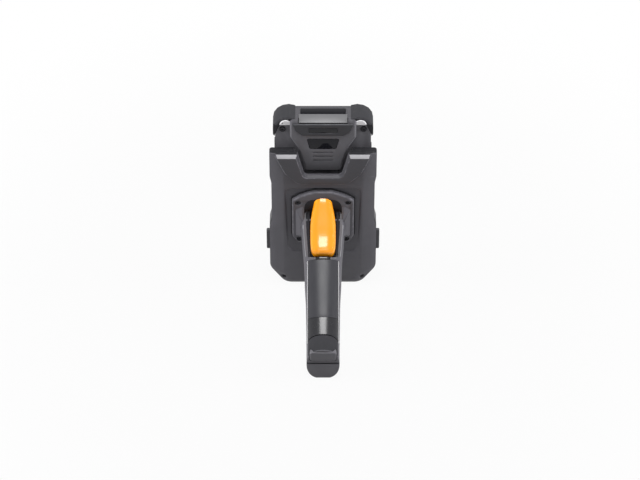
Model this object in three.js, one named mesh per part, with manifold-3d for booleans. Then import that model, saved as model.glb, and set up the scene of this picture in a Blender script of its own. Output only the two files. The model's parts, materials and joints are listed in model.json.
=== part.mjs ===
// Pistol-grip tag reader: a rugged handheld computer docked in a reader sled with a pistol grip.
// Millimetres, +Z up. It stands on the sled's tail and the heel of the grip, so the scanning end
// points up (+Z), the grip points to the front (-Y), the screen faces the back (+Y), X is across.
// Head frame used by the outlines below: x across, y along the head from the tail, z out of the
// sled's panel towards the grip. Grip frame: x across, y to the trigger side, z along the grip.

import * as THREE from 'three';
import { mergeVertices } from 'three/addons/utils/BufferGeometryUtils.js';
import Module from 'manifold-3d';

const wasm = await Module();
wasm.setup();

// Clearances
const gap = 0.3;               // between pieces that touch
const slideGap = 0.4;          // round the handheld in the sled
const keyTravel = 0.5;
const sideButtonTravel = 1.2;
const latchTravel = 1.2;

// Sled
const sledWidth = 101;
const sledLength = 166;
const tailWidth = 59;
const tailCorner = 21;         // height of the sloping tail corners
const waist = 1.5;             // how far the sides draw in
const flare = 0.8;             // how far the lower sides stand out
const waistLow = 80;
const waistHigh = sledLength - 38;
const shellWall = 2.2;
const bevelDepth = 3;
const bevelWidth = 11;
const bandDepth = 6;           // rubber band round the rim
const bandWall = 3;
const trayWall = 3.4;
const trayRail = 10.3;         // how far the tray's side rails reach past its plate
const trayLength = sledLength - 32;
const railLength = sledLength - 48;
const cutoutLow = sledLength - 26;  // bottom of the hood's opening
const cutoutLowHalf = 17.3;
const cutoutTopHalf = 25.4;
const hoodHeight = 2.7;
const hoodLow = sledLength - 36.5;
const pocketDepth = 1.5;
const pocketLow = sledLength - 125;
const pocketHigh = sledLength - 42;
const pocketHalf = 37;

// Grip
const rake = THREE.MathUtils.degToRad(28);
const gripRoot = sledLength - 79.65;  // where the grip's axis leaves the panel
const gripWall = 3;
const endPlane = 130;          // the grip's end face, measured from the panel
const capDepth = 13.7;
const flangeTop = 3.5;
const flangeLow = sledLength - 109;
const flangeHigh = sledLength - 44;
const flangeHalf = 29.5;
const inlayHalf = 14;
const inlayDepth = 1.6;
const inlayStart = 48;
const inlaySplit = 105.6;      // where the front sheet ends and the glossy band starts
const triggerHalf = 12;
const triggerEnd = 43.6;
const pivotAcross = 9;         // trigger pin, in the grip frame's y and z
const pivotAlong = 6;
const pinRadius = 1.5;
const pinHalf = 16.2;
const batteryHalf = 9.5;
const batteryStart = 53;

// Handheld
const bodyWidth = 90;
const bodyLow = 9;
const bodyHigh = 199.5;
const bodyBack = -14;          // the back of the body, on the tray
const bodySeam = -28;          // where the rear housing meets the bezel
const bodyFront = -31;
const bodyWall = 2;
const humpBack = -8;           // the raised scanning end
const humpHalf = bodyWidth / 2 - 14;
const bumperHalf = bodyWidth / 2 + 2;
const bumperLow = 176;
const glassHalf = bodyWidth / 2 - 5;
const glassLow = 15;
const glassHigh = 187;
const keyDepth = 4;

// Small fasteners
const screwHead = 2.2;
const screwShank = 1.2;
const screwHeadHeight = 1.4;

// ---------- geometry helpers ----------

function mirrored(right) {
  const left = right.map(([x, y, r]) => [-x, y, r]).reverse();
  return [...right, ...left];
}

function inset(corners, distance) {
  const count = corners.length;
  const amount = (i) => (Array.isArray(distance) ? distance[i] : distance);
  const lines = corners.map(([x, y], i) => {
    const [nextX, nextY] = corners[(i + 1) % count];
    const length = Math.hypot(nextX - x, nextY - y);
    const dx = (nextX - x) / length;
    const dy = (nextY - y) / length;
    return { x: x - dy * amount(i), y: y + dx * amount(i), dx, dy, amount: amount(i) };
  });
  return corners.map(([, , r], i) => {
    const a = lines[(i + count - 1) % count];
    const b = lines[i];
    const turn = a.dx * b.dy - a.dy * b.dx;
    const t = ((b.x - a.x) * b.dy - (b.y - a.y) * b.dx) / turn;
    const change = Math.sign(turn) * (a.amount + b.amount) / 2;
    return [a.x + a.dx * t, a.y + a.dy * t, Math.max(r - change, 0.3)];
  });
}

function ring(corners, steps = 4) {
  const points = [];
  const count = corners.length;
  corners.forEach(([x, y, r], i) => {
    const [px, py] = corners[(i + count - 1) % count];
    const [nx, ny] = corners[(i + 1) % count];
    const toPrev = new THREE.Vector2(px - x, py - y).normalize();
    const toNext = new THREE.Vector2(nx - x, ny - y).normalize();
    const half = Math.acos(THREE.MathUtils.clamp(toPrev.dot(toNext), -1, 1)) / 2;
    const reach = r / Math.tan(half);
    const start = new THREE.Vector2(x, y).addScaledVector(toPrev, reach);
    const end = new THREE.Vector2(x, y).addScaledVector(toNext, reach);
    const middle = toPrev.clone().add(toNext).normalize();
    const centre = new THREE.Vector2(x, y).addScaledVector(middle, r / Math.sin(half));
    const from = start.clone().sub(centre);
    const sweep = from.clone().cross(end.clone().sub(centre));
    const angle = Math.sign(sweep) * (Math.PI - 2 * half);
    for (let s = 0; s <= steps; s += 1) {
      const point = from.clone().rotateAround(new THREE.Vector2(), (angle * s) / steps);
      points.push([centre.x + point.x, centre.y + point.y]);
    }
  });
  return points;
}

// Joins rings of equally many points, each at its own height, and closes both ends.
function loft(levels) {
  const count = levels[0].points.length;
  const positions = levels.flatMap(({ points, z }) => points.flatMap(([x, y]) => [x, y, z]));
  const index = [];
  for (let level = 0; level + 1 < levels.length; level += 1) {
    for (let i = 0; i < count; i += 1) {
      const a = level * count + i;
      const b = level * count + ((i + 1) % count);
      index.push(a, b, b + count, a, b + count, a + count);
    }
  }
  const cap = (points) => THREE.ShapeUtils.triangulateShape(
    points.map(([x, y]) => new THREE.Vector2(x, y)), []);
  cap(levels[0].points).forEach(([a, b, c]) => index.push(c, b, a));
  const top = (levels.length - 1) * count;
  cap(levels.at(-1).points).forEach(([a, b, c]) => index.push(top + a, top + b, top + c));
  const geometry = new THREE.BufferGeometry();
  geometry.setAttribute('position', new THREE.Float32BufferAttribute(positions, 3));
  geometry.setIndex(index);
  return geometry;
}

function prism(corners, z0, z1, steps = 4) {
  const points = ring(corners, steps);
  return loft([{ points, z: z0 }, { points, z: z1 }]);
}

// A prism whose upper edge is chamfered by the given width and height.
function chamfered(corners, z0, z1, width, height, steps = 4) {
  return loft([
    { points: ring(corners, steps), z: z0 },
    { points: ring(corners, steps), z: z1 - height },
    { points: ring(inset(corners, width), steps), z: z1 },
  ]);
}

function rectangle(x0, x1, y0, y1, r) {
  return [[x1, y0, r], [x1, y1, r], [x0, y1, r], [x0, y0, r]];
}

function box(x0, x1, y0, y1, z0, z1) {
  const geometry = new THREE.BoxGeometry(x1 - x0, y1 - y0, z1 - z0);
  return geometry.translate((x0 + x1) / 2, (y0 + y1) / 2, (z0 + z1) / 2);
}

function disc(radius, x, y, z0, z1, sides = 20) {
  const geometry = new THREE.CylinderGeometry(radius, radius, z1 - z0, sides);
  return geometry.rotateX(Math.PI / 2).translate(x, y, (z0 + z1) / 2);
}

// A profile in the y-z plane, drawn out along x.
function sideProfile(points, x0, x1) {
  const turned = THREE.ShapeUtils.isClockWise(points.map(([y, z]) => new THREE.Vector2(y, z)));
  const corners = turned ? points.toReversed() : points;
  const basis = new THREE.Matrix4().makeBasis(
    new THREE.Vector3(0, 1, 0), new THREE.Vector3(0, 0, 1), new THREE.Vector3(1, 0, 0));
  return loft([{ points: corners, z: x0 }, { points: corners, z: x1 }]).applyMatrix4(basis);
}

function toSolid(geometry) {
  const plain = geometry.clone();
  plain.deleteAttribute('normal');
  plain.deleteAttribute('uv');
  const merged = mergeVertices(plain, 1e-4);
  return new wasm.Manifold(new wasm.Mesh({
    numProp: 3,
    vertProperties: Float32Array.from(merged.attributes.position.array),
    triVerts: Uint32Array.from(merged.index.array),
  }));
}

function toGeometry(solid) {
  const mesh = solid.getMesh();
  const geometry = new THREE.BufferGeometry();
  geometry.setAttribute('position', new THREE.Float32BufferAttribute(mesh.vertProperties, 3));
  geometry.setIndex(new THREE.Uint32BufferAttribute(mesh.triVerts, 1));
  return geometry;
}

const combine = (how) => (first, ...others) => toGeometry(
  others.reduce((solid, other) => solid[how](toSolid(other)), toSolid(first)));
const cut = combine('subtract');
const join = combine('add');
const common = combine('intersect');

// The grip frame within the head frame.
const gripMatrix = new THREE.Matrix4().makeRotationX(rake).setPosition(0, gripRoot, 0);
const toHead = (geometry) => geometry.clone().applyMatrix4(gripMatrix);
const toGrip = (geometry) => geometry.clone().applyMatrix4(gripMatrix.clone().invert());
const far = 300;
const slab = (z0, z1) => toGrip(box(-far, far, -far, far, z0, z1));

// ---------- materials ----------

const finish = (color, roughness, metalness = 0) => () => (
  new THREE.MeshStandardMaterial({ color, roughness, metalness }));
const charcoalPlastic = finish(0x4d4e51, 0.62);
const darkPlastic = finish(0x303134, 0.6);
const blackRubber = finish(0x1c1c1e, 0.85);
const blackGloss = finish(0x0d0d10, 0.12);
const orangeGloss = finish(0xfcb216, 0.28);
const glassBlack = finish(0x08090c, 0.06);
const lightBarPlastic = finish(0x8d8f94, 0.4);
const boardGreen = finish(0x1f5a38, 0.5);
const shieldMetal = finish(0xb9bcc0, 0.35, 0.9);
const screwSteel = finish(0x55575a, 0.4, 0.9);
const springSteel = finish(0xa9abae, 0.3, 1);
const cellWrap = finish(0x2b3e63, 0.45);
const ceramicWhite = finish(0xe7e3da, 0.5);

// ---------- outlines of the head ----------

const sledHalf = sledWidth / 2;
const bandTop = -bevelDepth - 0.6 - gap;
const bandLow = bandTop - bandDepth;
const trayTop = bandLow - gap;
const trayLow = trayTop - trayWall;

function sledCorners() {
  return mirrored([
    [tailWidth / 2 + 7, 0, 12],
    [sledHalf + flare, tailCorner, 14],
    [sledHalf + flare, waistLow - 10, 10],
    [sledHalf - waist, waistLow, 10],
    [sledHalf - waist, waistHigh, 10],
    [sledHalf, waistHigh + 8, 10],
    [sledHalf, sledLength, 2.5],
  ]);
}

function bevelCorners() {
  const sides = [bevelWidth * 0.7, bevelWidth, bevelWidth, bevelWidth, bevelWidth, bevelWidth];
  return inset(sledCorners(), [...sides, 0.6, ...sides.toReversed(), bevelWidth / 2]);
}

function cutoutCorners(spare = 0) {
  return inset(mirrored([
    [cutoutLowHalf, cutoutLow, 4],
    [cutoutTopHalf, sledLength + 4, 0.5],
  ]), -spare);
}

const pocketCorners = () => mirrored([[pocketHalf - 2.5, pocketLow, 11], [pocketHalf, pocketHigh, 6]]);

function flangeCorners() {
  return mirrored([
    [flangeHalf - 6, flangeLow, 5],
    [flangeHalf, flangeLow + 9, 5],
    [flangeHalf, flangeHigh - 9, 5],
    [flangeHalf - 14, flangeHigh, 8],
  ]);
}

function bodyCorners() {
  return mirrored([
    [bodyWidth / 2, bodyLow, 12],
    [bodyWidth / 2, bumperLow + 2, 2],
    [bodyWidth / 2 - 9, bodyHigh, 4],
  ]);
}

function humpCorners() {
  return mirrored([
    [cutoutLowHalf - slideGap, cutoutLow - 2, 3],
    [cutoutLowHalf + 1.5, cutoutLow + 10, 4],
    [cutoutTopHalf - 1.5, sledLength, 6],
    [humpHalf, sledLength + 13, 3],
    [humpHalf, bodyHigh, 3],
  ]);
}

// ---------- screws ----------

// A countersunk place and its screw share one position, given in the head frame.
const flangeScrewPlaces = [
  [-23.8, flangeHigh - 14], [23.8, flangeHigh - 14],
  [-22.4, flangeLow + 5.5], [22.4, flangeLow + 5.5],
];
const tailScrewPlaces = [[-38.2, 9], [38.2, 9]];
const bodyScrewPlaces = [[-38, 184.8], [38, 184.8]];
const flangeScrewBottom = -pocketDepth - 1.6;
const tailScrewTop = -1.6;
const tailScrewBottom = trayTop - 2;

function screw(x, y, top, bottom, head = screwHead, shank = screwShank) {
  const shape = join(
    disc(head, x, y, top - screwHeadHeight, top, 16),
    disc(shank, x, y, bottom, top - screwHeadHeight + 0.1, 12));
  return cut(shape, box(x - 1.5, x + 1.5, y - 0.35, y + 0.35, top - 0.6, top + 1));
}

function screwHole(x, y, top, bottom, head = screwHead, shank = screwShank) {
  return join(
    disc(head + gap, x, y, top - screwHeadHeight - gap, top + 6, 16),
    disc(shank + gap, x, y, bottom - gap, top, 12));
}

const flangeHoles = () => flangeScrewPlaces.map(([x, y]) => (
  screwHole(x, y, flangeTop - 0.2, flangeScrewBottom)));
const tailHoles = () => tailScrewPlaces.map(([x, y]) => (
  screwHole(x, y, tailScrewTop, tailScrewBottom, 1.8, 0.9)));

// ---------- sled ----------

function sledShell() {
  const outer = loft([
    { points: ring(sledCorners()), z: -bevelDepth - 0.6 },
    { points: ring(sledCorners()), z: -bevelDepth },
    { points: ring(bevelCorners()), z: 0 },
  ]);
  const inner = loft([
    { points: ring(inset(sledCorners(), shellWall + 1.2)), z: -bevelDepth - 1 },
    { points: ring(inset(sledCorners(), bevelWidth)), z: -shellWall },
  ]);
  const floor = prism(inset(pocketCorners(), -2), -pocketDepth - shellWall, -0.5);
  const pocket = loft([
    { points: ring(inset(pocketCorners(), pocketDepth)), z: -pocketDepth },
    { points: ring(inset(pocketCorners(), -0.5)), z: 0.5 },
  ]);
  return cut(
    join(cut(outer, inner), floor),
    pocket,
    prism(cutoutCorners(), -far, far),
    ...flangeHoles(),
    ...tailHoles());
}

// The rubber band between shell and tray, open where the hood opens and at the side buttons.
function rimBand() {
  const half = cutoutTopHalf + 1.6;
  return cut(
    prism(sledCorners(), bandLow, bandTop),
    prism(inset(sledCorners(), bandWall), bandLow - 1, bandTop + 1),
    box(-half, half, sledLength - 20, sledLength + 5, bandLow - 1, bandTop + 1),
    ...[-1, 1].map((side) => sideButtonShape(side, gap)),
    ...tailHoles());
}

const sideButtonMiddle = 54;
const sideButtonLength = 24;
const sideButtonDepth = 3.6;
const sideButtonProud = 3.1;
const sideButtonInner = 3.2;

function sideButtonShape(side, spare = 0) {
  const inner = sledHalf + flare - bandWall - sideButtonInner - spare * 8;
  const outer = sledHalf + flare + sideButtonProud + spare * 8;
  const middle = (bandLow + bandTop) / 2;
  const half = sideButtonDepth / 2 + spare;
  const y0 = sideButtonMiddle - sideButtonLength / 2 - spare;
  const y1 = sideButtonMiddle + sideButtonLength / 2 + spare;
  const outline = rectangle(Math.min(side * inner, side * outer),
    Math.max(side * inner, side * outer), y0, y1, 1.2);
  return prism(outline, middle - half, middle + half, 3);
}

function sledTray() {
  const outline = sledCorners();
  const blank = prism(outline, trayLow - trayRail, trayTop);
  const dock = dockBox(gap);
  return cut(
    blank,
    prism(inset(bodyCorners(), -slideGap), -far, trayLow),
    box(-far, far, trayLength, far, -far, far),
    box(-far, far, railLength, far, -far, trayLow),
    prism(rectangle(-20, 20, 30, 52, 4), -far, far),
    dock,
    ...tailHoles());
}

function dockBox(spare = 0) {
  const half = 14 + spare;
  const z0 = trayLow - 7.6 - spare;
  const z1 = trayLow - 1.8 + spare;
  return box(-half, half, 3.6 - spare, bodyLow - slideGap + spare * 3, z0, z1);
}

function dockConnector() {
  const pins = [-9, -6, -3, 0, 3, 6, 9].map((x) => (
    box(x - 0.7, x + 0.7, bodyLow - 1.2, bodyLow, trayLow - 5.4, trayLow - 4)));
  return cut(dockBox(), ...pins);
}

function hoodCollar() {
  const outline = mirrored([
    [24, hoodLow, 9],
    [36.8, hoodLow + 13, 12],
    [46.4, sledLength - 0.3, 1.5],
  ]);
  const top = gap + hoodHeight;
  const body = loft([
    { points: ring(outline), z: gap },
    { points: ring(inset(outline, [1.6, 1.6, 3.2, 1.6, 1.6, 1.6])), z: top },
  ]);
  const opening = loft([
    { points: ring(cutoutCorners()), z: gap - 1 },
    { points: ring(cutoutCorners()), z: gap },
    { points: ring(cutoutCorners(2)), z: top + 0.1 },
  ]);
  return cut(body, opening);
}

const readerBoard = () => prism(rectangle(-36, 36, 14, 62, 3), bandLow + 0.1, bandLow + 1.7, 2);
const readerModule = () => chamfered(rectangle(-16, 16, 24, 50, 1), bandLow + 2, bandLow + 4.9, 0.4, 0.4, 2);
const antennaPlate = () => prism(rectangle(-30, 30, 70, 126, 2), bandLow + 0.1, bandLow + 1.3, 2);
const antennaPatch = () => (
  chamfered(rectangle(-23, 23, 75, 121, 1), bandLow + 1.6, bandLow + 5.2, 0.3, 0.3, 2));

// ---------- grip ----------

// Stations down the grip: distance from the panel, half width, reach to the front and back.
const gripStations = [
  [-30, 21.5, 16, 22],
  [0, 21.2, 16, 21.6],
  [14, 20.8, 15.8, 20.6],
  [28, 19.8, 15.6, 19.2],
  [50, 18, 15.6, 17.6],
  [72, 17.2, 15.8, 16.9],
  [90, 16.2, 15.9, 16.4],
  [130, 15.6, 16.6, 16.2],
  [180, 15.5, 17, 16.2],
];

function eggRing(half, front, back, sides = 32) {
  const power = 0.84;
  const swell = (value) => Math.sign(value) * Math.abs(value) ** power;
  return Array.from({ length: sides }, (_, i) => {
    const angle = ((i + 0.5) / sides) * Math.PI * 2;
    const reach = Math.sin(angle) > 0 ? front : back;
    return [half * swell(Math.cos(angle)), reach * swell(Math.sin(angle))];
  });
}

function gripLoft(thinner) {
  return loft(gripStations.map(([z, half, front, back]) => (
    { points: eggRing(half - thinner, front - thinner, back - thinner), z })));
}

const shellEnd = endPlane - capDepth - gap;

const triggerWindow = () => cut(
  box(-triggerHalf - 0.6, triggerHalf + 0.6, 2, 40, -40, triggerEnd + 1.7),
  slab(-far, flangeTop + 0.6));

function pinShape(spare = 0) {
  const half = pinHalf + spare;
  const rod = new THREE.CylinderGeometry(pinRadius + spare, pinRadius + spare, half * 2, 16);
  return rod.rotateZ(Math.PI / 2).translate(0, pivotAcross, pivotAlong);
}

const batteryOutline = (spare = 0) => (
  rectangle(-batteryHalf - spare, batteryHalf + spare, -9.5 - spare, 8.5 + spare, 3.4 + spare));

function gripShell(side) {
  const wall = cut(gripLoft(0), gripLoft(gripWall), prism(batteryOutline(gap), batteryStart, far));
  const keep = side < 0 ? box(-far, -gap / 2, -far, far, -far, far)
    : box(gap / 2, far, -far, far, -far, far);
  const inlay = cut(
    box(-inlayHalf - gap, inlayHalf + gap, 0, far, inlayStart - gap, far),
    gripLoft(inlayDepth + gap));
  return cut(
    common(wall, keep),
    slab(-far, -pocketDepth + gap),
    slab(shellEnd, far),
    triggerWindow(),
    lipNotch(gap),
    inlay,
    pinShape(gap));
}

function inlaySheet(z0, z1) {
  const sheet = cut(
    common(gripLoft(-0.2), box(-inlayHalf, inlayHalf, 2, far, z0, z1)),
    gripLoft(inlayDepth));
  return cut(sheet, slab(shellEnd, far));
}

function gripFlange() {
  const plate = chamfered(flangeCorners(), -pocketDepth + gap, flangeTop, 1.6, 1.6);
  return cut(plate, toHead(gripLoft(-gap)), ...flangeHoles());
}

// Trigger stations: along the grip, half width, rear face and front face.
const triggerStations = [
  [-16, 7.6, 6, 27.2],
  [-6, 9, 6, 26.4],
  [4, 10.8, 6, 25],
  [14, triggerHalf, 7, 23.4],
  [24, triggerHalf, 10, 22],
  [31, triggerHalf, 10, 21.6],
  [triggerEnd - 6, triggerHalf - 0.6, 10, 21.4],
  [triggerEnd - 2, triggerHalf - 2, 10.3, 20.4],
  [triggerEnd, triggerHalf - 4.4, 11, 18],
];

function trigger() {
  const body = loft(triggerStations.map(([z, half, rear, front]) => ({
    points: ring([[half, rear, 0.8], [half, front, 5.2], [-half, front, 5.2], [-half, rear, 0.8]], 5),
    z,
  })));
  const hole = pinShape(gap);
  return cut(body, slab(-far, flangeTop + 0.9), hole);
}

// The shiny lip below the trigger fills a notch in both shells.
const lipNotch = (spare = 0) => box(
  -6.8 - spare, 6.8 + spare, 8, far, triggerEnd + 1.6 - spare, inlayStart - gap * 2 + spare);
const triggerLip = () => cut(common(gripLoft(0), lipNotch()), gripLoft(gripWall - gap));

const cavityFill = (x, y0, y1, z0, z1) => common(
  gripLoft(gripWall + gap), box(-x, x, y0, y1, z0, z1));

const switchBlock = () => cavityFill(far, -9, -2.6, 18, 41);
const triggerSwitch = () => join(
  box(-4, 4, -2.3, 4.2, 21, 31),
  box(-1.5, 1.5, 4, 5.2, 25, 28));

function coil(radius, wire, length, turns) {
  const points = Array.from({ length: turns * 10 + 1 }, (_, i) => {
    const angle = (i / 10) * Math.PI * 2;
    const along = wire + (i / (turns * 10)) * (length - 2 * wire);
    return new THREE.Vector3(radius * Math.cos(angle), along, radius * Math.sin(angle));
  });
  const section = new THREE.Shape(Array.from({ length: 6 }, (_, i) => (
    new THREE.Vector2(wire * Math.cos(i * Math.PI / 3), wire * Math.sin(i * Math.PI / 3)))));
  return new THREE.ExtrudeGeometry(section, {
    steps: turns * 10,
    extrudePath: new THREE.CatmullRomCurve3(points),
    bevelEnabled: false,
  });
}

const triggerSpring = () => coil(2.6, 0.4, 11.9, 5).translate(0, -2.3, 36);
const contactBlock = () => cavityFill(far, -9.5, 8.5, batteryStart - 5, batteryStart - gap);

function batteryPack() {
  return cut(prism(batteryOutline(), batteryStart, far), slab(shellEnd - gap, far));
}

const latchHalf = 12.6;
const latchLow = 22.4;
const latchHigh = 33.8;
const latchOutline = (spare) => (
  rectangle(-latchHalf - spare, latchHalf + spare, latchLow - spare, latchHigh + spare, 3));
const latchSeat = endPlane - 7;

// The end cap, built in the head frame: its end face is parallel to the panel.
function baseCap() {
  const start = shellEnd + gap;
  const blank = toHead(gripLoft(0));
  const slice = (thinner, z) => toHead(gripLoft(thinner)).applyMatrix4(
    new THREE.Matrix4().makeTranslation(0, 0, z));
  const full = common(blank, box(-far, far, 0, far, start, endPlane - 2));
  const step = common(slice(1.3, 0.4), box(-far, far, 0, far, endPlane - 3, endPlane));
  const groove = box(-far, far, 18.2, 20.4, endPlane - 1.2, far);
  return cut(join(full, step), groove, prism(latchOutline(gap), latchSeat, far));
}

function latchButton() {
  const low = latchSeat + latchTravel + gap;
  return chamfered(latchOutline(0), low, endPlane + 0.7, 0.8, 0.8);
}

// ---------- handheld ----------

const cameraWindowCorners = (spare = 0) => inset(mirrored([
  [12.2, 165.4, 1.5], [15.2, 177.6, 1.5]]), -spare);
const keys = {
  scan_key_left: { side: -1, low: 128, high: 146 },
  volume_key: { side: -1, low: 150, high: 168 },
  scan_key_right: { side: 1, low: 128, high: 146 },
  power_key: { side: 1, low: 152, high: 162 },
};
const keyMiddle = (bodyBack + bodySeam) / 2;

function keyShape({ side, low, high }, spare = 0) {
  const outer = bodyWidth / 2 + 0.8;
  const inner = bodyWidth / 2 - bodyWall + 0.5;
  const extra = spare ? keyTravel : 0;
  const x0 = Math.min(side * (inner - extra - spare), side * (outer + spare));
  const x1 = Math.max(side * (inner - extra - spare), side * (outer + spare));
  const outline = rectangle(x0, x1, low - spare, high + spare, 0.6);
  const half = keyDepth / 2 + spare;
  return prism(outline, keyMiddle - half, keyMiddle + half, 2);
}

// The light bar lies on a slope between the scanning window and the back.
const barRun = [[197.2, humpBack], [200.6, -17]];
const barProfile = (sink) => [
  [barRun[0][0] - sink, barRun[0][1] - sink / 3],
  [barRun[0][0] - 1.5, barRun[0][1] - 1.2],
  [barRun[1][0] - 1.5, barRun[1][1]],
  [barRun[1][0] - sink, barRun[1][1]],
];
const scanWindow = (spare = 0) => box(
  -21 - spare, 21 + spare, bodyHigh - 0.9 - spare, bodyHigh + 0.8 + spare * 10,
  -25.6 - spare, -17.6 + spare);

function handheldHousing() {
  const shape = join(
    prism(bodyCorners(), bodySeam, bodyBack),
    chamfered(humpCorners(), bodyBack - 1, humpBack, 1.6, 1.6));
  const inner = prism(inset(bodyCorners(), bodyWall), bodySeam - 1, bodyBack - bodyWall);
  const humpInner = prism(inset(humpCorners(), bodyWall), bodyBack - 4, humpBack - bodyWall);
  const slope = sideProfile([
    [barRun[0][0] - 2, humpBack + 1], [barRun[0][0] - 2, barRun[0][1] - 1.5],
    [barRun[1][0] - 2, barRun[1][1]], [far, barRun[1][1]], [far, humpBack + 1]],
  -23.4, 23.4);
  const slits = [161.2, 156.4, 151.6].map((y) => (
    box(-9.4, 9.4, y - 0.6, y + 0.6, humpBack - 5, humpBack + 1)));
  return cut(
    shape, inner, humpInner, slope,
    scanWindow(gap),
    box(-14, 14, bodyHigh - 6, far, -24, -19),
    prism(cameraWindowCorners(gap), humpBack - 1.3 - gap, far),
    disc(3.4, 0, 171.5, humpBack - 4, far),
    ...slits,
    ...bodyScrewPlaces.map(([x, y]) => disc(screwShank + gap, x, y, bodyBack - 3, 0, 12)),
    ...Object.values(keys).map((key) => keyShape(key, gap)));
}

function handheldBezel() {
  const glass = rectangle(-glassHalf, glassHalf, glassLow, glassHigh, 5);
  const ledge = inset(glass, 2.4);
  const plate = chamfered(bodyCorners(), -(bodySeam - gap), -bodyFront, 1, 1)
    .applyMatrix4(new THREE.Matrix4().makeRotationY(Math.PI));
  return cut(
    plate,
    prism(inset(glass, -gap), bodyFront - 1, bodyFront + 1.9),
    prism(ledge, bodyFront - 1, bodySeam + 1),
    box(-8, 8, glassHigh + 1.6, glassHigh + 3, bodyFront - 1, bodyFront + 0.8));
}

const displayGlass = () => prism(
  rectangle(-glassHalf, glassHalf, glassLow, glassHigh, 5), bodyFront + 0.1, bodyFront + 1.6);
const displayModule = () => prism(
  rectangle(-37, 37, glassLow + 3, 176, 1), bodyFront + 1.9, bodySeam + 2.4, 2);
const mainBoard = () => prism(rectangle(-38, 38, 14, 177, 3), bodySeam + 2.7, bodySeam + 4.3, 2);
const handheldBattery = () => prism(
  rectangle(-30, 30, 20, 112, 3), bodySeam + 4.6, bodyBack - bodyWall - gap);
const scanEngine = () => chamfered(
  rectangle(-12, 12, 181, bodyHigh - bodyWall - gap, 1), bodySeam + 2.4, bodyBack, 0.6, 0.6, 2);
const cameraModule = () => join(
  box(-6, 6, 166, 177, bodyBack - 6, humpBack - bodyWall - gap),
  disc(3, 0, 171.5, humpBack - 3, humpBack - 1.8));
const speaker = () => prism(
  rectangle(-10, 10, 149, 163, 2), bodyBack - 3, humpBack - bodyWall - gap, 2);
const cameraWindow = () => prism(cameraWindowCorners(), humpBack - 1.3, humpBack + 0.1);

function topCap() {
  const outline = mirrored([
    [19, 182, 5], [25.4, 187, 5], [29.2, 196.2, 1.2]]);
  const plate = chamfered(outline, humpBack + gap, humpBack + 1.7, 0.7, 0.7);
  return cut(plate, prism(rectangle(-13.5, 13.5, 185.8, 191.8, 1), humpBack + 0.9, far, 2));
}

const nameplate = () => prism(
  rectangle(-13.2, 13.2, 186.1, 191.5, 0.8), humpBack + 1.2, humpBack + 1.6, 2);
const lightBar = () => sideProfile(barProfile(0.1), -22.8, 22.8);

function bumper(side) {
  const x0 = humpHalf - 6;
  const outline = [
    [x0, bumperLow, 0.5], [bumperHalf, bumperLow, 3], [bumperHalf, bodyHigh + 1.7, 15],
    [x0, bodyHigh + 1.7, 0.5]];
  const corners = side > 0 ? outline : outline.map(([x, y, r]) => [-x, y, r]).reverse();
  const clear = inset(bodyCorners(), -gap);
  return cut(
    chamfered(corners, bodyFront, bodyBack + 3.6, 1.4, 1.4),
    prism(clear, -far, bodyBack + gap),
    box(-far, far, -far, 192.2, bodyBack - gap, far),
    prism(inset(humpCorners(), -gap), -far, far),
    prism(inset(cornerPostCorners(side), -gap), bodyBack, far));
}

function cornerPostCorners(side) {
  const outline = [[32.2, 187.6, 2], [39.4, 187.6, 2.5], [36.6, 195.6, 2.5], [32.2, 195.6, 2]];
  return side > 0 ? outline : outline.map(([x, y, r]) => [-x, y, r]).reverse();
}

const cornerPost = (side) => chamfered(
  cornerPostCorners(side), bodyBack + gap, bodyBack + 2.6, 1.2, 1.2);
const bodyScrew = ([x, y]) => screw(x, y, bodyBack + 1.7, bodyBack - 1.6, 1.8, 0.9);

// ---------- assembly ----------

const head = new THREE.Group();
head.rotation.x = Math.PI / 2;
const grip = new THREE.Group();
grip.rotation.x = rake;
grip.position.y = gripRoot;
head.add(grip);

function place(parent, name, geometry, material) {
  const mesh = new THREE.Mesh(geometry, material());
  mesh.name = name;
  parent.add(mesh);
}

function addSled() {
  place(head, 'sled_shell', sledShell(), charcoalPlastic);
  place(head, 'rim_band', rimBand(), blackRubber);
  place(head, 'sled_tray', sledTray(), darkPlastic);
  place(head, 'hood_collar', hoodCollar(), charcoalPlastic);
  place(head, 'reader_board', readerBoard(), boardGreen);
  place(head, 'reader_module', readerModule(), shieldMetal);
  place(head, 'antenna_plate', antennaPlate(), shieldMetal);
  place(head, 'antenna_patch', antennaPatch(), ceramicWhite);
  place(head, 'dock_connector', dockConnector(), blackGloss);
  place(head, 'side_button_left', sideButtonShape(-1), darkPlastic);
  place(head, 'side_button_right', sideButtonShape(1), darkPlastic);
  tailScrewPlaces.forEach(([x, y], i) => place(
    head, `tail_screw_${i + 1}`, screw(x, y, tailScrewTop, tailScrewBottom, 1.8, 0.9), screwSteel));
  flangeScrewPlaces.forEach(([x, y], i) => place(
    head, `flange_screw_${i + 1}`, screw(x, y, flangeTop - 0.2, flangeScrewBottom), screwSteel));
}

function addGrip() {
  place(head, 'grip_flange', gripFlange(), charcoalPlastic);
  place(grip, 'grip_shell_left', gripShell(-1), charcoalPlastic);
  place(grip, 'grip_shell_right', gripShell(1), charcoalPlastic);
  place(grip, 'grip_front_sheet', inlaySheet(inlayStart, inlaySplit - gap), darkPlastic);
  place(grip, 'grip_band', inlaySheet(inlaySplit, far), blackGloss);
  place(grip, 'trigger', trigger(), orangeGloss);
  place(grip, 'trigger_pin', pinShape(), springSteel);
  place(grip, 'trigger_lip', triggerLip(), blackGloss);
  place(grip, 'switch_block', switchBlock(), darkPlastic);
  place(grip, 'trigger_switch', triggerSwitch(), blackGloss);
  place(grip, 'trigger_spring', triggerSpring(), springSteel);
  place(grip, 'contact_block', contactBlock(), darkPlastic);
  place(grip, 'battery_pack', batteryPack(), cellWrap);
  place(head, 'base_cap', baseCap(), charcoalPlastic);
  place(head, 'latch_button', latchButton(), darkPlastic);
}

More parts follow.
